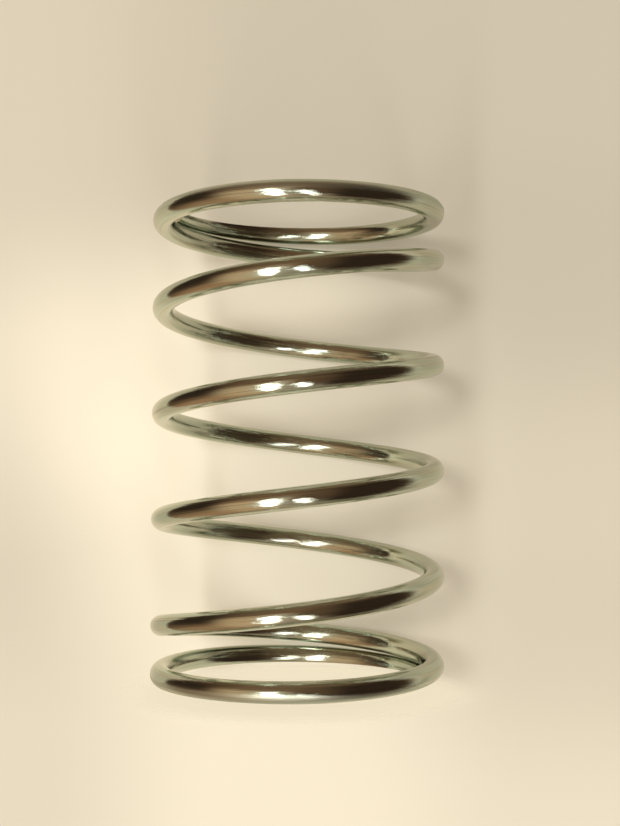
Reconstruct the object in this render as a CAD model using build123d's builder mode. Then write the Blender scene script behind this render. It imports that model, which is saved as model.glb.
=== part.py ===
from build123d import *
import os
from math import cos, pi, radians, sin, sqrt, tan

# Small compression spring: one round wire, coiled right-handed about Z, with
# both ends closed and ground flat. It stands on its lower ground end. The
# origin is the middle of that end, and +Z runs along the coil's axis.

# Driving dimensions, in millimetres, or in turns of wire counted from a tip.
wire_diameter = 2.0
outside_diameter = 28.0
free_length = 45.5  # from one ground end to the other
total_turns = 6.4  # from tip to tip
tip_turns = 0.35  # length of the tip that climbs onto the next turn
lead_in_turns = 0.95  # length over which the pitch grows from none to full
grind_depth = 0.2  # ground off the wire where it lies flat
tip_thickness = 0.85  # left of the wire by grinding at the very tip
coil_gap = 0.05  # least gap between a tip and the turn it lies on
lower_tip_angle = 18.0  # degrees about Z from +X
bends_per_turn = 16  # arcs in one turn of the wire's centre line
bend_share = 0.98  # share of each run that is arc, the rest being straight

# Sizes that follow.
wire_radius = wire_diameter / 2
coil_radius = (outside_diameter - wire_diameter) / 2
seat_height = wire_radius - grind_depth
tip_drop = wire_diameter - grind_depth - tip_thickness
rise_between_seats = free_length - 2 * seat_height

# The wire's centre falls to its tip along one parabola and lifts off the flat
# seat along another, tip_bend and lead_bend being their second-order terms in
# millimetres per turn squared. One turn apart, their vertices stand
# vertex_turns from each other, and the two curves come as close as
# vertex_turns**2 / (1 / tip_bend + 1 / lead_bend). That distance is kept at
# turn_spacing, so the seat ends where the wire must lift to clear its own tip.
# As lead_bend follows from the pitch, and the pitch from the seat's length,
# vertex_turns is the root of a quadratic.
tip_bend = tip_drop / tip_turns**2
turn_spacing = wire_diameter + coil_gap
turns_past_tips = total_turns - lead_in_turns - 2 * (1 + tip_turns)
linear_term = 2 * turn_spacing * lead_in_turns / rise_between_seats
constant_term = turn_spacing / tip_bend + linear_term * turns_past_tips
vertex_turns = linear_term + sqrt(linear_term**2 + constant_term)
seat_turns = 1 + tip_turns - vertex_turns
pitch = rise_between_seats / (total_turns - lead_in_turns - 2 * seat_turns)
lead_bend = pitch / (2 * lead_in_turns)

# The centre line is a chain of tangent arcs, which keeps the wire's surface
# exact: each arc's stretch of it is part of a torus. An arc rounds one corner
# of a polyline, whose corners stand outside the coil's radius by as much as
# the arcs cut them short.
bends = round(total_turns * bends_per_turn)
bend_turns = total_turns / bends
corner_radius = coil_radius / (1 - bend_share * (1 - cos(pi * bend_turns)))

def rise_above_seat(turn):
    """Height of the wire's centre over its flat seat, turn being counted from the tip."""
    if turn < tip_turns:
        return -tip_bend * (tip_turns - turn) ** 2
    if turn < seat_turns:
        return 0.0
    if turn < seat_turns + lead_in_turns:
        return lead_bend * (turn - seat_turns) ** 2
    return pitch * (turn - seat_turns - lead_in_turns / 2)

def corner(turn):
    """Corner of the centre line's polyline, turn being counted from the lower tip."""
    if turn < total_turns / 2:
        height = seat_height + rise_above_seat(turn)
    else:
        height = free_length - seat_height - rise_above_seat(total_turns - turn)
    angle = radians(lower_tip_angle) + 2 * pi * turn
    return Vector(corner_radius * cos(angle), corner_radius * sin(angle), height)

def bend_radius(run_in, run_out):
    """Radius of the arc that rounds the corner between two runs of the polyline."""
    half_run = min(run_in.length, run_out.length) / 2
    return bend_share * half_run / tan(radians(run_in.get_angle(run_out)) / 2)

# Each tip lies in the middle of a run, so the corners go on past both tips.
corners = [corner((count - 0.5) * bend_turns) for count in range(bends + 2)]
runs = [end - start for start, end in zip(corners, corners[1:])]
lower_tip = corners[0] + runs[0] / 2
upper_tip = corners[-1] - runs[-1] / 2
bend_radii = [bend_radius(*pair) for pair in zip(runs, runs[1:])]

with BuildPart() as coil_spring:
    # The round wire follows its centre line from the lower tip to the upper one.
    with BuildLine() as centre_line:
        FilletPolyline(lower_tip, *corners[1:-1], upper_tip, radius=bend_radii)
    with BuildSketch(Plane(origin=lower_tip, z_dir=runs[0])):
        Circle(wire_radius)
    sweep(path=centre_line.wire())
    # Grinding leaves a flat, square to the axis, on each end turn.
    split(bisect_by=Plane.XY, keep=Keep.TOP)
    split(bisect_by=Plane.XY.offset(free_length), keep=Keep.BOTTOM)

coil_spring.part.label = "coil_spring"

os.makedirs("parts", exist_ok=True)
export_step(coil_spring.part, "parts/coil_spring.step")
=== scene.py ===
"""A small compression spring of bright plated steel wire, standing on a pale stage."""

import math

import bmesh
import bpy
from mathutils import Matrix, Vector


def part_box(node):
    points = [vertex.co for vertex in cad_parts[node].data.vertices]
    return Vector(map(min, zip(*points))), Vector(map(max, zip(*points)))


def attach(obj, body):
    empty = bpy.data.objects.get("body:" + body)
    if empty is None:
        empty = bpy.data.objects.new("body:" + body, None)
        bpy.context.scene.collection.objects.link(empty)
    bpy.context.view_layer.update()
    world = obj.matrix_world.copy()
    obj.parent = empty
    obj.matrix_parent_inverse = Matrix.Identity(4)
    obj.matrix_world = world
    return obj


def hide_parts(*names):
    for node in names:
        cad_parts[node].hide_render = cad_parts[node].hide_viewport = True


bl_info = {
    "name": "Small compression spring",
    "version": (1, 0, 0),
    "blender": (4, 5, 0),
    "location": "View3D > Sidebar > Spring",
    "description": "Winds the spring's wire and sets its stage, lights and camera",
    "category": "Add Mesh",
}

MM = 0.001
FULL_TURN = 2 * math.pi
QUARTER_TURN = math.pi / 2

# Places of the coil's two finishes among its material slots.
PLATED = 0
GROUND = 1
# A point nearer to a grinding plane than this counts as lying in it.
GRIND_TOLERANCE = 1e-8

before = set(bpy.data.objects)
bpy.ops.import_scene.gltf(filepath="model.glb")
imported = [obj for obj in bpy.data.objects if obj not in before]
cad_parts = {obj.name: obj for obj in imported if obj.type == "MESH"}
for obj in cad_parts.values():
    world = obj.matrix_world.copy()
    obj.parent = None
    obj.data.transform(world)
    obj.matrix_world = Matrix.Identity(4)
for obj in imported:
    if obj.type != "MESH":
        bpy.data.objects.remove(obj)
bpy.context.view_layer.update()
COIL_LOW, COIL_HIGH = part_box("coil_spring")


class SpringSizes(bpy.types.PropertyGroup):
    """Sizes of the wire and of the coil that it is wound into."""

    wire_diameter: bpy.props.FloatProperty(
        name="Wire diameter",
        description="Thickness of the round wire",
        default=2.0 * MM,
        min=0.5 * MM,
        unit="LENGTH",
    )
    outside_diameter: bpy.props.FloatProperty(
        name="Outside diameter",
        description="Width over the outside of the turns",
        default=COIL_HIGH.y - COIL_LOW.y,
        min=5 * MM,
        unit="LENGTH",
    )
    free_length: bpy.props.FloatProperty(
        name="Free length",
        description="Height from one ground end to the other with no load",
        default=COIL_HIGH.z - COIL_LOW.z,
        min=10 * MM,
        unit="LENGTH",
    )
    total_turns: bpy.props.FloatProperty(
        name="Total turns",
        description="Turns of wire from one tip to the other",
        default=6.4,
        min=4.0,
    )
    tip_turns: bpy.props.FloatProperty(
        name="Tip turns",
        description="Length of the tip that falls away from the flat seat, in turns",
        default=0.35,
        min=0.05,
    )
    lead_in_turns: bpy.props.FloatProperty(
        name="Lead-in turns",
        description="Length over which the pitch grows from none to full, in turns",
        default=0.95,
        min=0.2,
    )
    grind_depth: bpy.props.FloatProperty(
        name="Grind depth",
        description="Thickness ground off the wire where it lies flat",
        default=0.2 * MM,
        min=0.0,
        unit="LENGTH",
    )
    tip_thickness: bpy.props.FloatProperty(
        name="Tip thickness",
        description="Thickness left of the wire at its very tip",
        default=0.85 * MM,
        min=0.1 * MM,
        unit="LENGTH",
    )
    coil_gap: bpy.props.FloatProperty(
        name="Coil gap",
        description="Least gap between a tip and the turn that it lies on",
        default=0.05 * MM,
        min=0.0,
        unit="LENGTH",
    )
    lower_tip_angle: bpy.props.FloatProperty(
        name="Lower tip angle",
        description="Direction of the lower tip about Z, from +X",
        default=math.radians(18),
        subtype="ANGLE",
    )
    sides: bpy.props.IntProperty(
        name="Sides",
        description="Facets round the wire",
        default=56,
        min=8,
    )
    steps_per_turn: bpy.props.IntProperty(
        name="Steps per turn",
        description="Facets along one turn of the wire",
        default=128,
        min=16,
    )


class StageLooks(bpy.types.PropertyGroup):
    """Colours and levels of the backdrop, the floor and the light."""

    backdrop_colour: bpy.props.FloatVectorProperty(
        name="Backdrop colour",
        description="Colour of the backdrop and of the floor",
        default=(0.87, 0.835, 0.71),
        size=3,
        subtype="COLOR",
        min=0.0,
        max=1.0,
    )
    lamp_colour: bpy.props.FloatVectorProperty(
        name="Lamp colour",
        description="Colour of the lamps",
        default=(1.0, 0.985, 0.94),
        size=3,
        subtype="COLOR",
        min=0.0,
        max=1.0,
    )
    lamp_level: bpy.props.FloatProperty(
        name="Lamp level",
        description="Brightness of the lamps, 1 being white",
        default=8.6,
        min=0.0,
    )
    lamp_distance: bpy.props.FloatProperty(
        name="Lamp distance",
        description="How far the lamps hang from the spring",
        default=1.5,
        min=0.2,
        unit="LENGTH",
    )


class FinishLooks(bpy.types.PropertyGroup):
    """Colours of the wire's plating and of its ground ends."""

    plating_colour: bpy.props.FloatVectorProperty(
        name="Plating colour",
        description="Colour of the bright plating",
        default=(0.58, 0.6, 0.495),
        size=3,
        subtype="COLOR",
        min=0.0,
        max=1.0,
    )
    tinge_colour: bpy.props.FloatVectorProperty(
        name="Tinge colour",
        description="Colour that the plating turns to in streaks",
        default=(0.525, 0.6, 0.515),
        size=3,
        subtype="COLOR",
        min=0.0,
        max=1.0,
    )
    line_colour: bpy.props.FloatVectorProperty(
        name="Line colour",
        description="Colour of the fine dark lines along the drawn wire",
        default=(0.3, 0.3, 0.245),
        size=3,
        subtype="COLOR",
        min=0.0,
        max=1.0,
    )
    ground_colour: bpy.props.FloatVectorProperty(
        name="Ground colour",
        description="Colour of the plated ground ends",
        default=(0.60, 0.61, 0.545),
        size=3,
        subtype="COLOR",
        min=0.0,
        max=1.0,
    )


class WireCourse:
    """Height of the wire's centre over the lower ground end, along its turns.

    From each tip the wire rises along one parabola to its flat seat, lifts off it along
    another and goes on at full pitch. The seat ends where the wire must lift to clear
    its own tip, one turn before: the two parabolas come as near to each other as the
    wire's thickness plus the coil gap. The second one follows from the pitch, and the
    pitch from the seat's length, so the turns between their vertices, one turn and the
    tip less the seat, are the root of a quadratic.
    """

    def __init__(self, sizes):
        self.turns = sizes.total_turns
        self.tip = sizes.tip_turns
        self.lead_in = sizes.lead_in_turns
        self.length = sizes.free_length
        wire_radius = sizes.wire_diameter / 2
        self.seat_height = wire_radius - sizes.grind_depth
        rise = self.length - 2 * self.seat_height
        drop = sizes.wire_diameter - sizes.grind_depth - sizes.tip_thickness
        self.tip_bend = drop / self.tip**2
        spacing = sizes.wire_diameter + sizes.coil_gap
        turns_past_tips = self.turns - self.lead_in - 2 * (1 + self.tip)
        linear_term = 2 * spacing * self.lead_in / rise
        constant_term = spacing / self.tip_bend + linear_term * turns_past_tips
        square_root = math.sqrt(linear_term**2 + constant_term)
        self.seat = 1 + self.tip - linear_term - square_root
        self.pitch = rise / (self.turns - self.lead_in - 2 * self.seat)

    def rise(self, turn):
        """Height over the flat seat, turn being counted from the nearer tip."""
        if turn < self.tip:
            return -self.tip_bend * (self.tip - turn) ** 2
        if turn < self.seat:
            return 0.0
        if turn < self.seat + self.lead_in:
            return self.pitch / (2 * self.lead_in) * (turn - self.seat) ** 2
        return self.pitch * (turn - self.seat - self.lead_in / 2)

    def height(self, turn):
        """Height over the lower end, turn being counted from the lower tip."""
        if turn < self.turns / 2:
            return self.seat_height + self.rise(turn)
        return self.length - self.seat_height - self.rise(self.turns - turn)


def finished_piece(name, bm, materials):
    """Turns a bmesh into an object at the origin, with these materials."""
    mesh = bpy.data.meshes.new(name)
    bm.to_mesh(mesh)
    bm.free()
    for material in materials:
        mesh.materials.append(material)
    piece = bpy.data.objects.new(name, mesh)
    bpy.context.scene.collection.objects.link(piece)
    return piece


def note_place_on_wire(ring, layer, centre_height, coil_radius, wire_radius, along):
    """Stores where a ring's points lie on the wire, for its finish to follow.

    The three numbers are the distances from the wire's centre outwards and upwards, in
    wire radii, and the length of wire from the lower tip.
    """
    for vert in ring:
        outward = math.hypot(vert.co.x, vert.co.y) - coil_radius
        upward = vert.co.z - centre_height
        vert[layer] = (outward / wire_radius, upward / wire_radius, along)


def wind_wire(bm, sizes):
    """Spins a circle of wire round the axis, from the lower tip to the upper one."""
    course = WireCourse(sizes)
    wire_radius = sizes.wire_diameter / 2
    coil_radius = (sizes.outside_diameter - sizes.wire_diameter) / 2
    layer = bm.verts.layers.float_vector.new("wire_place")
    steps = round(sizes.total_turns * sizes.steps_per_turn)
    turn_step = sizes.total_turns / steps
    arc_step = FULL_TURN * turn_step * coil_radius

    place = (
        Matrix.Rotation(sizes.lower_tip_angle, 4, "Z")
        @ Matrix.Translation((coil_radius, 0, course.height(0)))
        @ Matrix.Rotation(QUARTER_TURN, 4, "X")
    )
    made = bmesh.ops.create_circle(bm, segments=sizes.sides, radius=wire_radius, matrix=place)
    ring = made["verts"]
    note_place_on_wire(ring, layer, course.height(0), coil_radius, wire_radius, 0.0)
    edges = list(bm.edges)
    for step in range(1, steps + 1):
        height = course.height(step * turn_step)
        rise = height - course.height((step - 1) * turn_step)
        made = bmesh.ops.spin(
            bm,
            geom=edges,
            cent=(0, 0, 0),
            axis=(0, 0, 1),
            dvec=(0, 0, rise),
            angle=FULL_TURN * turn_step,
            steps=1,
            use_duplicate=False,
        )
        last = made["geom_last"]
        edges = [item for item in last if isinstance(item, bmesh.types.BMEdge)]
        ring = [item for item in last if isinstance(item, bmesh.types.BMVert)]
        note_place_on_wire(ring, layer, height, coil_radius, wire_radius, step * arc_step)


def close_openings(bm, material_index):
    """Fills every open loop of edges with one flat face and gives it a sharp rim."""
    open_edges = [edge for edge in bm.edges if edge.is_boundary]
    made = bmesh.ops.holes_fill(bm, edges=open_edges, sides=0)
    for face in made["faces"]:
        face.smooth = False
        face.material_index = material_index
        for edge in face.edges:
            edge.smooth = False


def grind_ends(bm, free_length):
    """Cuts the end turns flat, square to the axis."""
    for height, outwards in ((0.0, -1), (free_length, 1)):
        bmesh.ops.bisect_plane(
            bm,
            geom=list(bm.verts) + list(bm.edges) + list(bm.faces),
            dist=GRIND_TOLERANCE,
            plane_co=(0, 0, height),
            plane_no=(0, 0, outwards),
            clear_outer=True,
        )
        close_openings(bm, GROUND)


class NodeBench:
    """Adds nodes to one tree, and links them up by the sockets it hands back."""

    def __init__(self, tree):
        self.tree = tree

    def add(self, kind, **settings):
        node = self.tree.nodes.new(kind)
        for name, value in settings.items():
            setattr(node, name, value)
        return node

    def feed(self, socket, value):
        if isinstance(value, bpy.types.NodeSocket):
            self.tree.links.new(value, socket)
        elif isinstance(value, tuple) and len(value) == 3 and socket.type == "RGBA":
            socket.default_value = (*value, 1.0)
        else:
            socket.default_value = value

    def math(self, operation, *values):
        node = self.add("ShaderNodeMath", operation=operation)
        for socket, value in zip(node.inputs, values):
            self.feed(socket, value)
        return node.outputs[0]

    def ramp(self, value, start, end, low=0.0, high=1.0):
        """Runs smoothly from low at start to high at end."""
        node = self.add("ShaderNodeMapRange", interpolation_type="SMOOTHSTEP")
        for name, number in (
            ("Value", value),
            ("From Min", start),
            ("From Max", end),
            ("To Min", low),
            ("To Max", high),
        ):
            self.feed(node.inputs[name], number)
        return node.outputs["Result"]

    def mix_colour(self, share, first, second, blend_type="MIX"):
        """Goes from the first colour to the second as share goes from 0 to 1."""
        node = self.add("ShaderNodeMix", data_type="RGBA", blend_type=blend_type)
        # The node has sockets of the same names for numbers, vectors and colours.
        # These are the share, the two colours and the mixed colour.
        self.feed(node.inputs[0], share)
        self.feed(node.inputs[6], first)
        self.feed(node.inputs[7], second)
        return node.outputs[2]

    def multiply_colour(self, share, colour, levels):
        """Multiplies a colour by three levels, as far as share goes."""
        return self.mix_colour(share, colour, levels, "MULTIPLY")

    def mix_shader(self, share, first, second):
        node = self.add("ShaderNodeMixShader")
        self.feed(node.inputs[0], share)
        self.feed(node.inputs[1], first)
        self.feed(node.inputs[2], second)
        return node.outputs[0]

    def split(self, vector):
        node = self.add("ShaderNodeSeparateXYZ")
        self.feed(node.inputs[0], vector)
        return node.outputs["X"], node.outputs["Y"], node.outputs["Z"]

    def noise(self, place, features, detail=2.0, roughness=0.5):
        """Noise with so many features to a unit of each axis of the place."""
        stretched = self.add("ShaderNodeMapping")
        self.feed(stretched.inputs["Vector"], place)
        self.feed(stretched.inputs["Scale"], features)
        node = self.add("ShaderNodeTexNoise")
        self.feed(node.inputs["Vector"], stretched.outputs["Vector"])
        self.feed(node.inputs["Scale"], 1.0)
        self.feed(node.inputs["Detail"], detail)
        self.feed(node.inputs["Roughness"], roughness)
        return node.outputs["Fac"]

    def metal(self, colour, roughness, relief, strength, depth):
        """Shader of bare metal, with its relief's strength and depth."""
        bump = self.add("ShaderNodeBump")
        self.feed(bump.inputs["Strength"], strength)
        self.feed(bump.inputs["Distance"], depth)
        self.feed(bump.inputs["Height"], relief)
        node = self.add("ShaderNodeBsdfPrincipled")
        self.feed(node.inputs["Metallic"], 1.0)
        self.feed(node.inputs["Base Color"], colour)
        self.feed(node.inputs["Roughness"], roughness)
        self.feed(node.inputs["Normal"], bump.outputs["Normal"])
        return node.outputs[0]


def shaded(colour, levels):
    """The colour with each channel multiplied by its level."""
    return tuple(level * channel for level, channel in zip(levels, colour))


def blank_material(name):
    """Makes a material with an output and nothing else, and a bench to fill it."""
    material = bpy.data.materials.new(name)
    material.use_nodes = True
    material.node_tree.nodes.clear()
    bench = NodeBench(material.node_tree)
    output = bench.add("ShaderNodeOutputMaterial")
    return material, bench, output.inputs["Surface"]


# Patterns of the plating: features to a wire radius outwards and upwards and to a
# metre along the wire, and the noise levels between which each sets in. The dark
# lines take at most this share of their colour.
FINE_LINES = (5.0, 5.0, 110.0)
FINE_LINES_RANGE = (0.35, 0.75)
TINGE_STREAKS = (2.2, 2.2, 90.0)
TINGE_RANGE = (0.35, 0.65)
DARK_LINES = (8.0, 8.0, 60.0)
DARK_LINES_RANGE = (0.53, 0.68)
DARK_LINES_SHARE = 0.7
# Relief of the plating: its depth, and the dark lines' part beside the fine ones'.
PLATING_DEPTH = 0.022 * MM
DARK_LINES_RELIEF = 0.3
# Roughness from one fine line to the next, and what rubbing adds beside the ends.
PLATING_ROUGHNESS = (0.035, 0.09)
RUBBED_ROUGHNESS = 0.34
# The wire is rubbed up to the first height off each ground end, and bright from the
# second on. Across the wire it is bright up to the first share of its radius
# outwards, and rubbed from the second on.
RUBBED_HEIGHTS = (0.6 * MM, 1.1 * MM)
RUBBED_SIDE = (0.1, 0.6)

# Lines of the grinding wheel: features to a metre along each axis, the noise levels
# between which they set in, the roughness from one to the next, the depth and the
# strength of their relief, and what they dim the colour to.
WHEEL_LINES = (600.0, 9000.0, 600.0)
WHEEL_LINES_RANGE = (0.3, 0.7)
GROUND_ROUGHNESS = (0.24, 0.38)
GROUND_DEPTH = 0.02 * MM
GROUND_RELIEF = 0.3
GROUND_DIMMING = (0.88, 0.88, 0.88)


def plated_wire_material(finish, low_end, high_end):
    """Bright plating over drawn wire, with lines along it, rubbed dull beside the ends."""
    material, bench, surface = blank_material("plated_wire")
    place = bench.add("ShaderNodeAttribute", attribute_name="wire_place").outputs["Vector"]
    fine = bench.noise(place, FINE_LINES, detail=4.0, roughness=0.65)
    streaks = bench.noise(place, TINGE_STREAKS)
    dark = bench.noise(place, DARK_LINES, detail=3.0, roughness=0.7)

    colour = bench.mix_colour(
        bench.ramp(streaks, *TINGE_RANGE),
        tuple(finish.plating_colour),
        tuple(finish.tinge_colour),
    )
    line = bench.ramp(dark, *DARK_LINES_RANGE, 0.0, DARK_LINES_SHARE)
    colour = bench.mix_colour(line, colour, tuple(finish.line_colour))

    _, _, height = bench.split(bench.add("ShaderNodeTexCoord").outputs["Object"])
    rubbed_to, bright_from = RUBBED_HEIGHTS
    below = bench.ramp(height, low_end + rubbed_to, low_end + bright_from, 1.0, 0.0)
    above = bench.ramp(height, high_end - bright_from, high_end - rubbed_to)
    outward, _, _ = bench.split(place)
    outside = bench.ramp(outward, *RUBBED_SIDE)
    rubbed = bench.math("MULTIPLY", bench.math("ADD", below, above), outside)
    polished = bench.ramp(fine, *FINE_LINES_RANGE, *PLATING_ROUGHNESS)
    roughness = bench.math("MULTIPLY_ADD", rubbed, RUBBED_ROUGHNESS, polished)

    relief = bench.math("MULTIPLY_ADD", dark, DARK_LINES_RELIEF, fine)
    bench.feed(surface, bench.metal(colour, roughness, relief, 1.0, PLATING_DEPTH))
    return material


def ground_end_material(finish):
    """Plating over the ground flats, dulled by the grinding wheel's lines."""
    material, bench, surface = blank_material("ground_end")
    place = bench.add("ShaderNodeTexCoord").outputs["Object"]
    lines = bench.noise(place, WHEEL_LINES, roughness=0.6)
    bright = tuple(finish.ground_colour)
    colour = bench.mix_colour(lines, shaded(bright, GROUND_DIMMING), bright)
    roughness = bench.ramp(lines, *WHEEL_LINES_RANGE, *GROUND_ROUGHNESS)
    bench.feed(surface, bench.metal(colour, roughness, lines, GROUND_RELIEF, GROUND_DEPTH))
    return material


class SPRING_OT_wind_coil(bpy.types.Operator):
    """Winds the spring's wire, closes its ends and grinds them flat"""

    bl_idname = "spring.wind_coil"
    bl_label = "Wind the coil"

    def execute(self, context):
        sizes = context.scene.spring_sizes
        bm = bmesh.new()
        wind_wire(bm, sizes)
        for face in bm.faces:
            face.smooth = True
        close_openings(bm, PLATED)
        bmesh.ops.recalc_face_normals(bm, faces=list(bm.faces))
        grind_ends(bm, sizes.free_length)
        bmesh.ops.recalc_face_normals(bm, faces=list(bm.faces))
        finish = context.scene.spring_finish
        materials = [
            plated_wire_material(finish, 0.0, sizes.free_length),
            ground_end_material(finish),
        ]
        wire = finished_piece("plated_coil", bm, materials)
        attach(wire, "root")
        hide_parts("coil_spring")
        return {"FINISHED"}


# Patches of the room that the plating mirrors, each laid over those before it: its
# span of azimuth and of elevation and how softly each ends, in degrees, and its
# colour. Azimuth turns from -Y towards +X.
ROOM_PATCHES = (
    ((-120, 99), (-100, 100), (4, 8), (0.157, 0.09, 0.05)),  # room
    ((-120, 99), (64, 100), (8, 9), (0.23, 0.157, 0.09)),  # top
    ((-120, 130), (-100, -64), (8, 12), (0.50, 0.40, 0.275)),  # low
    ((94, 128), (-74, -22), (8, 12), (0.30, 0.245, 0.17)),  # low right
    ((-122, -20), (-76, -26), (8, 18), (0.46, 0.26, 0.14)),  # tan low left
    ((-62, -8), (-70, 24), (14, 14), (0.71, 0.475, 0.285)),  # tan
    ((-116, -74), (-6, 46), (10, 14), (0.045, 0.028, 0.018)),  # dark left
    ((-60, 2), (26, 62), (16, 14), (0.25, 0.145, 0.083)),  # brown over
    ((28, 96), (-62, 54), (15, 14), (0.042, 0.0245, 0.0155)),  # dark right
    ((-12, 8), (-60, -18), (6, 12), (0.48, 0.38, 0.28)),  # between
    ((10, 36), (-70, -46), (8, 10), (0.42, 0.33, 0.24)),  # beside
    ((-31, -10), (-60, 16), (5, 18), (0.85, 0.73, 0.57)),  # glow
)

# Lamps: the azimuth and elevation of each end and the width, in degrees, the share
# of the lamps' level, and whether the plating mirrors it. The three strips make the
# highlights, and the small key lamp the soft shadows on the backdrop.
LAMPS = (
    ("left_upper", (-23.0, 8.0), (-17.5, -16.0), 5.0, 1.2, True),
    ("left_lower", (-17.5, -16.0), (-19.5, -49.0), 5.0, 1.0, True),
    ("right", (3.0, -13.0), (18.0, -52.0), 4.6, 0.6, True),
    ("key", (-15.0, 10.0), (-15.0, 2.0), 8.0, 4.2, False),
)

# What the backdrop's colour is multiplied by for the room beyond its patches, and
# for what the camera sees where it looks past the backdrop.
PALE_ROOM = (0.82, 0.75, 0.66)
SEEN_ROOM = (1.03, 0.94, 0.84)

# Painted light and shade on the backdrop, each over those before it: darker patches
# where shade and the coil's shadow fall, lighter ones where light pools. Its span
# across and its span up and how softly each ends, in millimetres, and what it
# multiplies the colour by.
BACKDROP_PAINTED_LIGHT_AND_SHADE = (
    ((-200, 200), (36, 200), (20, 18), 0.68),  # top
    ((-200, -16), (40, 200), (14, 16), 1.12),  # top left
    ((12, 200), (-4, 44), (14, 14), 0.77),  # right
    ((-200, -18), (-200, 7), (10, 12), 0.84),  # lower left
    ((14, 200), (-200, 4), (10, 10), 0.9),  # bottom right
    ((48, 200), (-200, 0), (12, 12), 0.45),  # low right
    ((-4, 14), (2, 36), (8, 7), 0.87),  # inside
    ((-30, -10), (18, 42), (7, 8), 1.14),  # left
    ((-16, 6), (34, 44), (6, 5), 1.14),  # upper inside
    ((-200, -24), (2, 26), (8, 10), 0.81),  # far left
)

# What the backdrop's colour is multiplied by where the plating mirrors it, a painted
# shade on its reflection, and the places across where it fades in on the left for
# the plating.
MIRRORED_BACKDROP = (0.88, 0.85, 0.8)
MIRRORED_EDGE = (-49 * MM, -47 * MM)

# The cards: how far each reaches from its centre, the distances from the centre
# over which it fades out, and the part of it that glows, the rest being lit.
BACKDROP_REACH = 95 * MM
BACKDROP_FADE = (60 * MM, 90 * MM)
BACKDROP_GLOW = 0.27
FLOOR_REACH = 24 * MM
FLOOR_FADE = (12.5 * MM, 18 * MM)
FLOOR_GLOW = 0.6
# What a card's colour is multiplied by for the light that its glowing part gives off.
CARD_LIGHT = (1.45, 1.34, 1.17)
# The backdrop's centre lies this far behind the coil and this high, and the floor's
# this far below the coil and in front of its axis.
BACKDROP_GAP = 0.1 * MM
BACKDROP_HEIGHT = 26 * MM
FLOOR_GAP = 0.01 * MM
FLOOR_FORWARD = 6 * MM

# The camera: its place, its lens and film width in millimetres, how far it is
# tilted up and rolled, and the nearest and farthest that it sees.
CAMERA_PLACE = (1.141 * MM, -134.0 * MM, 20.804 * MM)
CAMERA_LENS = 60.74
CAMERA_FILM = 36
CAMERA_TILT = math.radians(2.030)
CAMERA_ROLL = math.radians(-0.205)
CAMERA_REACH = (0.005, 10)


def towards(azimuth, elevation):
    """Unit vector to a place in the room, the azimuth turning from -Y towards +X."""
    turn = math.radians(azimuth)
    lift = math.radians(elevation)
    level = math.cos(lift)
    return Vector((math.sin(turn) * level, -math.cos(turn) * level, math.sin(lift)))


def window(bench, value, span, softness):
    """One inside the span, falling smoothly to none past its ends."""
    rise = bench.ramp(value, span[0] - softness, span[0] + softness)
    fall = bench.ramp(value, span[1] - softness, span[1] + softness, 1.0, 0.0)
    return bench.math("MULTIPLY", rise, fall)


def room_world(looks):
    """A dim room by direction for the plating to mirror, and a plain backdrop to look at."""
    world = bpy.data.worlds.new("studio")
    world.use_nodes = True
    world.node_tree.nodes.clear()
    bench = NodeBench(world.node_tree)
    direction = bench.add("ShaderNodeTexCoord").outputs["Generated"]
    right, back, up = bench.split(direction)
    forward = bench.math("MULTIPLY", back, -1.0)
    to_degrees = math.degrees(1)
    azimuth = bench.math("MULTIPLY", bench.math("ARCTAN2", right, forward), to_degrees)
    elevation = bench.math("MULTIPLY", bench.math("ARCSINE", up), to_degrees)
    colour = shaded(looks.backdrop_colour, PALE_ROOM)
    for azimuths, elevations, softness, tint in ROOM_PATCHES:
        patch = bench.math(
            "MULTIPLY",
            window(bench, azimuth, azimuths, softness[0]),
            window(bench, elevation, elevations, softness[1]),
        )
        colour = bench.mix_colour(patch, colour, tint)
    camera_ray = bench.add("ShaderNodeLightPath").outputs["Is Camera Ray"]
    seen = shaded(looks.backdrop_colour, SEEN_ROOM)
    colour = bench.mix_colour(camera_ray, colour, seen)
    background = bench.add("ShaderNodeBackground")
    bench.feed(background.inputs["Color"], colour)
    output = bench.add("ShaderNodeOutputWorld")
    bench.feed(output.inputs["Surface"], background.outputs[0])
    return world


def hang_lamp(name, first_end, second_end, width, share, mirrored, looks, aim):
    """Hangs a lamp between two places in the room, facing the spring."""
    distance = looks.lamp_distance
    ends = [aim + distance * towards(*end) for end in (first_end, second_end)]
    along = ends[1] - ends[0]
    middle = (ends[0] + ends[1]) / 2
    facing = (middle - aim).normalized()
    run = (along - along.dot(facing) * facing).normalized()
    data = bpy.data.lights.new(name, "AREA")
    data.shape = "RECTANGLE"
    data.size = 2 * distance * math.tan(math.radians(width / 2))
    data.size_y = along.length
    data.color = looks.lamp_colour
    # An energy of four times its area gives a lamp's face a brightness of one.
    level = share * looks.lamp_level
    data.energy = 4 * level * data.size * data.size_y
    lamp = bpy.data.objects.new(name, data)
    axes = Matrix((run.cross(facing), run, facing)).transposed().to_4x4()
    lamp.matrix_world = Matrix.Translation(middle) @ axes
    lamp.visible_glossy = mirrored
    bpy.context.scene.collection.objects.link(lamp)


def card_share(bench, place, centre, fade):
    """How much of a card shows: all of its front near the centre, and none far from it."""
    reach = bench.add("ShaderNodeVectorMath", operation="DISTANCE")
    bench.feed(reach.inputs[0], place)
    bench.feed(reach.inputs[1], tuple(centre))
    share = bench.ramp(reach.outputs["Value"], fade[0], fade[1], 1.0, 0.0)
    backfacing = bench.add("ShaderNodeNewGeometry").outputs["Backfacing"]
    return bench.math("MULTIPLY", share, bench.math("SUBTRACT", 1.0, backfacing))


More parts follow.
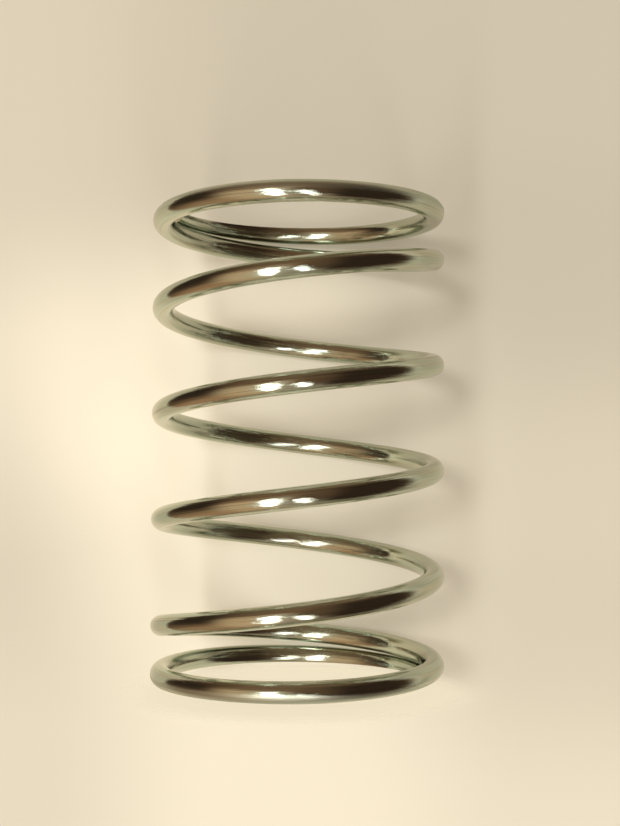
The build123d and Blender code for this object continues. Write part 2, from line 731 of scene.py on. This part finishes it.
def pale_card(bench, colour, glowing, shown):
    """Card of this colour, part of it glowing and the rest lit, as far as it is shown."""
    lit = bench.add("ShaderNodeBsdfDiffuse")
    bench.feed(lit.inputs["Color"], colour)
    glow = bench.add("ShaderNodeEmission")
    bench.feed(glow.inputs["Color"], bench.multiply_colour(1.0, colour, CARD_LIGHT))
    card = bench.mix_shader(glowing, lit.outputs[0], glow.outputs[0])
    clear = bench.add("ShaderNodeBsdfTransparent")
    return bench.mix_shader(shown, clear.outputs[0], card)


def backdrop_material(looks, centre):
    """The backdrop: pale card with painted uneven light and shade, mirrored by the plating up
    to its left edge.
    """
    material, bench, surface = blank_material("backdrop")
    place = bench.add("ShaderNodeTexCoord").outputs["Object"]
    across, _, up = bench.split(place)
    colour = tuple(looks.backdrop_colour)
    # Painted light and shade: each patch darkens or lightens the card's colour where shade,
    # the coil's shadow or a pool of light falls.
    for width, height, softness, level in BACKDROP_PAINTED_LIGHT_AND_SHADE:
        shade = bench.math(
            "MULTIPLY",
            window(bench, across, [MM * end for end in width], MM * softness[0]),
            window(bench, up, [MM * end for end in height], MM * softness[1]),
        )
        colour = bench.multiply_colour(shade, colour, (level, level, level))
    # Painted shade: the backdrop is darker where the plating mirrors it.
    mirrored = bench.add("ShaderNodeLightPath").outputs["Is Glossy Ray"]
    colour = bench.multiply_colour(mirrored, colour, MIRRORED_BACKDROP)
    beyond_edge = bench.ramp(across, *MIRRORED_EDGE, 1.0, 0.0)
    hidden = bench.math("MULTIPLY", mirrored, beyond_edge)
    shown = card_share(bench, place, centre, BACKDROP_FADE)
    shown = bench.math("MULTIPLY", shown, bench.math("SUBTRACT", 1.0, hidden))
    bench.feed(surface, pale_card(bench, colour, BACKDROP_GLOW, shown))
    return material


def floor_material(looks, centre):
    """The floor: a pale card that only the camera sees, with a soft shadow of the spring."""
    material, bench, surface = blank_material("floor")
    place = bench.add("ShaderNodeTexCoord").outputs["Object"]
    shown = card_share(bench, place, centre, FLOOR_FADE)
    camera_ray = bench.add("ShaderNodeLightPath").outputs["Is Camera Ray"]
    shown = bench.math("MULTIPLY", shown, camera_ray)
    colour = tuple(looks.backdrop_colour)
    bench.feed(surface, pale_card(bench, colour, FLOOR_GLOW, shown))
    return material


def stage_card(name, matrix, reach, material):
    """Lays one square card, its face along the matrix's Z axis."""
    bm = bmesh.new()
    bmesh.ops.create_grid(bm, x_segments=1, y_segments=1, size=reach, matrix=matrix)
    card = finished_piece(name, bm, [material])


def set_camera(scene):
    """Stands the camera in front of the spring, close to it and a little tilted."""
    data = bpy.data.cameras.new("camera")
    data.lens = CAMERA_LENS
    data.sensor_width = CAMERA_FILM
    data.clip_start, data.clip_end = CAMERA_REACH
    camera = bpy.data.objects.new("camera", data)
    camera.matrix_world = (
        Matrix.Translation(CAMERA_PLACE)
        @ Matrix.Rotation(CAMERA_TILT, 4, "X")
        @ Matrix.Rotation(CAMERA_ROLL, 4, "Y")
        @ Matrix.Rotation(QUARTER_TURN, 4, "X")
    )
    scene.collection.objects.link(camera)
    scene.camera = camera


class SPRING_OT_set_stage(bpy.types.Operator):
    """Sets the floor, the backdrop, the lights and the camera"""

    bl_idname = "spring.set_stage"
    bl_label = "Set the stage"

    def execute(self, context):
        scene = context.scene
        looks = scene.spring_stage
        scene.view_settings.view_transform = "Standard"
        scene.world = room_world(looks)
        middle = Vector((0.0, 0.0, COIL_HIGH.z / 2))
        for lamp in LAMPS:
            hang_lamp(*lamp, looks, middle)
        backdrop_centre = Vector((0.0, COIL_HIGH.y + BACKDROP_GAP, BACKDROP_HEIGHT))
        upright = Matrix.Translation(backdrop_centre) @ Matrix.Rotation(QUARTER_TURN, 4, "X")
        backdrop = backdrop_material(looks, backdrop_centre)
        stage_card("backdrop", upright, BACKDROP_REACH, backdrop)
        floor_centre = Vector((0.0, -FLOOR_FORWARD, COIL_LOW.z - FLOOR_GAP))
        floor = floor_material(looks, floor_centre)
        stage_card("floor", Matrix.Translation(floor_centre), FLOOR_REACH, floor)
        set_camera(scene)
        return {"FINISHED"}


class SPRING_PT_panel(bpy.types.Panel):
    """Lists the spring's sizes and steps"""

    bl_label = "Compression spring"
    bl_idname = "SPRING_PT_panel"
    bl_space_type = "VIEW_3D"
    bl_region_type = "UI"
    bl_category = "Spring"

    def draw(self, context):
        column = self.layout.column()
        for name in SpringSizes.__annotations__:
            column.prop(context.scene.spring_sizes, name)
        for name in FinishLooks.__annotations__:
            column.prop(context.scene.spring_finish, name)
        for name in StageLooks.__annotations__:
            column.prop(context.scene.spring_stage, name)
        column.operator(SPRING_OT_wind_coil.bl_idname)
        column.operator(SPRING_OT_set_stage.bl_idname)


CLASSES = (
    SpringSizes,
    FinishLooks,
    StageLooks,
    SPRING_OT_wind_coil,
    SPRING_OT_set_stage,
    SPRING_PT_panel,
)


def register():
    for cls in CLASSES:
        bpy.utils.register_class(cls)
    bpy.types.Scene.spring_sizes = bpy.props.PointerProperty(type=SpringSizes)
    bpy.types.Scene.spring_finish = bpy.props.PointerProperty(type=FinishLooks)
    bpy.types.Scene.spring_stage = bpy.props.PointerProperty(type=StageLooks)


def unregister():
    del bpy.types.Scene.spring_stage
    del bpy.types.Scene.spring_finish
    del bpy.types.Scene.spring_sizes
    for cls in reversed(CLASSES):
        bpy.utils.unregister_class(cls)


def main():
    register()
    bpy.ops.spring.wind_coil()
    bpy.ops.spring.set_stage()


if __name__ == "__main__":
    main()
